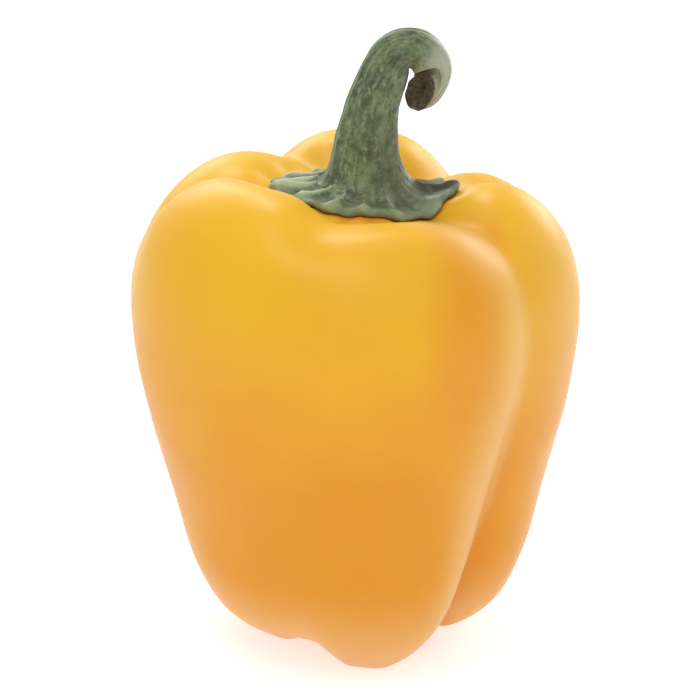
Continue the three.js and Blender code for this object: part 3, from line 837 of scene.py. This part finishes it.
def green_stem():
    """A living stem: green with a dull shine, fibrous along its length, and pale on the ribs.
    Painted shade darkens its fine crinkles, the calyx's valleys and the fin, and painted
    highlights pale the crinkles' tops and the hook. It is browner on its right side, and browned
    by air where it was cut."""
    material, tree, shader, place = start_material("fibrous_green_stem")
    rib = add(tree, "ShaderNodeAttribute", attribute_name="rib")
    cut = add(tree, "ShaderNodeAttribute", attribute_name="cut")
    fin = add(tree, "ShaderNodeAttribute", attribute_name="fin")
    fibre = add(tree, "ShaderNodeAttribute", attribute_name="fibre").outputs["Vector"]
    run = add(tree, "ShaderNodeSeparateXYZ", (fibre,)).outputs["Z"]
    east = add(tree, "ShaderNodeSeparateXYZ", (place,)).outputs["X"]

    mottle = plain_range(tree, even_noise(tree, place, MOTTLE_SPACING, 5), (0.34, 0.64))
    base = add(tree, "ShaderNodeMix", {"Factor": mottle, "A": colour("#3a4c2a"),
                                       "B": colour("#6c7c52")}, data_type="RGBA")
    streak = fibre_noise(tree, fibre, STREAK_RATES, 3)
    brown = even_noise(tree, place, BROWN_SPACING, 3)
    painted_crinkle_light = fibre_noise(tree, fibre, PAINTED_CRINKLE_RATES, 4, 0.65)
    browner_right = product(tree, smooth_range(tree, east, BROWNER_FROM_LEFT, (0, 0.45)),
                     smooth_range(tree, run, BROWNER_FROM_ABOVE))
    calyx_valley_painted_shade = product(tree, smooth_range(tree, rib, (0.25, 0), (0, 0.4)),
                     smooth_range(tree, run, ON_CALYX))
    base = paint(tree, base, (
        (smooth_range(tree, streak, (0.52, 0.7), (0, 0.4)), "#97a383"),  # pale fibres
        (smooth_range(tree, brown, (0.52, 0.75), (0, 0.5)), "#5e5240"),  # brown patches
        (smooth_range(tree, painted_crinkle_light, (0.5, 0.36), (0, 0.6)), "#2c3922"),  # painted shade in the crinkles' hollows
        (smooth_range(tree, painted_crinkle_light, (0.56, 0.68), (0, 0.5)), "#9fab8c"),  # and a painted highlight on their tops
        # browner on the right side, low on the stem and over the calyx
        (browner_right, "#5b5440"),
        # a painted highlight, pale, on the hook
        (smooth_range(tree, run, HOOK_PAINTED_HIGHLIGHT, (0, 0.75)), "#aaac98"),
        (smooth_range(tree, run, OUTER_CALYX, (0, 0.6)), "#9aa882"),
        # painted shade in the calyx's valleys between the ribs
        (calyx_valley_painted_shade, "#34452a"),
        (smooth_range(tree, rib, (0.35, 1.25), (0, 0.85)), "#bcc59f"),  # along the ribs
        # painted shade, dark brown, on the fin
        (smooth_range(tree, fin, (0.12, 0.45), (0, 0.9)), "#3a3525")))
    split = plain_range(tree, even_noise(tree, place, CUT_GRAIN_SPACING, 2), (0.35, 0.65))
    flesh = add(tree, "ShaderNodeMix", {"Factor": split, "A": colour("#544a39"),
                                        "B": colour("#7c705a")}, data_type="RGBA")
    cut_share = smooth_range(tree, cut, (0, 0.04))
    base = add(tree, "ShaderNodeMix", {"Factor": cut_share, "A": base, "B": flesh},
               data_type="RGBA")
    tree.links.new(result_of(base), shader.inputs["Base Color"])

    rough = plain_range(tree, mottle, (0, 1), STEM_ROUGHNESS)
    rough = add(tree, "ShaderNodeMix", {"Factor": cut_share, "A": rough, "B": CUT_ROUGHNESS},
                data_type="FLOAT")
    tree.links.new(result_of(rough), shader.inputs["Roughness"])
    grain = fibre_noise(tree, fibre, FIBRE_RATES, 4)
    bump = add(tree, "ShaderNodeBump", {
        "Strength": 0.8, "Distance": FIBRE_DEPTH * MM, "Height": grain})
    tree.links.new(bump.outputs["Normal"], shader.inputs["Normal"])
    shader.inputs["IOR"].default_value = 1.45
    return material


# The camera stands where the photograph was taken from.
CAMERA_HEIGHT_ANGLE = math.radians(18)
CAMERA_DISTANCE = 0.6  # metres
CAMERA_AIM = Vector((-0.00115, 0, 0.0569))
LENS = 161.2  # millimetres, and long, so that the near side looks little larger
camera_data = bpy.data.cameras.new("camera")
camera_data.lens = LENS
camera = bpy.data.objects.new("camera", camera_data)
camera.location = CAMERA_AIM + CAMERA_DISTANCE * Vector(
    (0, -math.cos(CAMERA_HEIGHT_ANGLE), math.sin(CAMERA_HEIGHT_ANGLE)))
camera.rotation_euler = (math.pi / 2 - CAMERA_HEIGHT_ANGLE, 0, 0)
bpy.context.scene.collection.objects.link(camera)
bpy.context.scene.camera = camera

near = nearness_group()
hump = hump_group()
furrow = furrow_group()
outlines = [guide(name, [(x * FRUIT_RADIUS, 0, z * FRUIT_HEIGHT) for x, z in outline])
            for name, outline in (("lobe_outline", LOBE_OUTLINE),
                                  ("furrow_outline", FURROW_OUTLINE))]
centreline = guide("stem_centreline", STEM_PATH)
section = guide("calyx_section", [(x * SECTION_SCALE, share, z) for x, z, share in CALYX_SECTION])

skin = waxy_pepper_skin()
fruit = bake("pepper_fruit", fruit_tree(near, hump, furrow), {
    "Lobe Outline": outlines[0], "Furrow Outline": outlines[1],
    "Bearings": FRUIT_GRID[0], "Bands": FRUIT_GRID[1], "Foot Sink": FOOT_SINK,
    "Undulation": UNDULATION[0], "Undulation Spacing": UNDULATION[1],
    "Dimpling": DIMPLING[0], "Dimpling Spacing": DIMPLING[1], "Skin": skin})
stem = bake("pepper_stem_and_calyx", stem_tree(near, hump), {
    "Fruit": fruit, "Centreline": centreline, "Calyx Section": section,
    "Bearings": STEM_BEARINGS, "Calyx Rows": CALYX_ROWS, "Stem Rows": STEM_ROWS,
    "Cut Rows": CUT_ROWS, "Calyx Radius": CALYX_RADIUS, "Tip Reach": TIP_REACH,
    "Rib Height": RIB_HEIGHT, "Ragged Edge": RAGGED_EDGE, "Cut Dish": CUT_DISH,
    "Seat Gap": SEAT_GAP, "Green": green_stem()})
for guide_object in (*outlines, centreline, section):
    bpy.data.objects.remove(guide_object)

# The frame's box is centred, so the pieces move over by what the fruit's own box is off.
lo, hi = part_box("fruit")
places = [vertex.co for vertex in fruit.data.vertices]
shift = [(lo[axis] + hi[axis] - min(p[axis] for p in places) - max(p[axis] for p in places)) / 2
         for axis in (0, 1)]
for piece, node, slot in ((fruit, "fruit", "pepper_skin"), (stem, "stem_and_calyx", "green_stem")):
    piece.data.transform(Matrix.Translation((*shift, 0)))
    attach(piece, "root")
    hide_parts(node)

# A sheet of white paper that glows a little, as in a light box.
FLOOR_REACH = 3  # metres from the middle to each side
PAPER_GREY = 0.6
PAPER_ROUGHNESS = 0.9
PAPER_GLOW = 0.6
ROOM_GLOW = 0.7
floor_data = bpy.data.meshes.new("floor")
floor_data.from_pydata([(x * FLOOR_REACH, y * FLOOR_REACH, 0)
                        for x, y in ((-1, -1), (1, -1), (1, 1), (-1, 1))], [], [(0, 1, 2, 3)])
floor = bpy.data.objects.new("floor", floor_data)
bpy.context.scene.collection.objects.link(floor)
paper, _, paper_shader, _ = start_material("white_paper")
paper_shader.inputs["Base Color"].default_value = (*[PAPER_GREY] * 3, 1)
paper_shader.inputs["Roughness"].default_value = PAPER_ROUGHNESS
paper_shader.inputs["Emission Color"].default_value = (1, 1, 1, 1)
paper_shader.inputs["Emission Strength"].default_value = PAPER_GLOW
floor_data.materials.append(paper)

world = bpy.data.worlds.new("studio")
world.use_nodes = True
background = world.node_tree.nodes["Background"]
background.inputs["Color"].default_value = (1, 1, 1, 1)
background.inputs["Strength"].default_value = ROOM_GLOW
bpy.context.scene.world = world
bpy.context.scene.view_settings.view_transform = "Standard"

LIGHT_AIM = Vector((0, 0, 0.05))


def softbox(name, place, width, watts):
    """A square light that faces the pepper's middle, with its place and width in metres."""
    data = bpy.data.lights.new(name, "AREA")
    data.shape = "SQUARE"
    data.size = width
    data.energy = watts
    light = bpy.data.objects.new(name, data)
    light.location = place
    towards = LIGHT_AIM - light.location
    light.rotation_euler = towards.to_track_quat("-Z", "Y").to_euler()
    bpy.context.scene.collection.objects.link(light)


softbox("left_window", Vector((-0.42, 1.05, 0.68)), 0.6, 3.6)
softbox("right_window", Vector((0.72, 0.98, 0.45)), 0.6, 5)
softbox("skylight", Vector((-0.2, -0.4, 1.1)), 0.4, 2.2)
softbox("back_skylight", Vector((-0.12, 0.55, 1.05)), 0.35, 3.5)
softbox("front_window", Vector((0.2, -0.9, 0.9)), 0.8, 2)
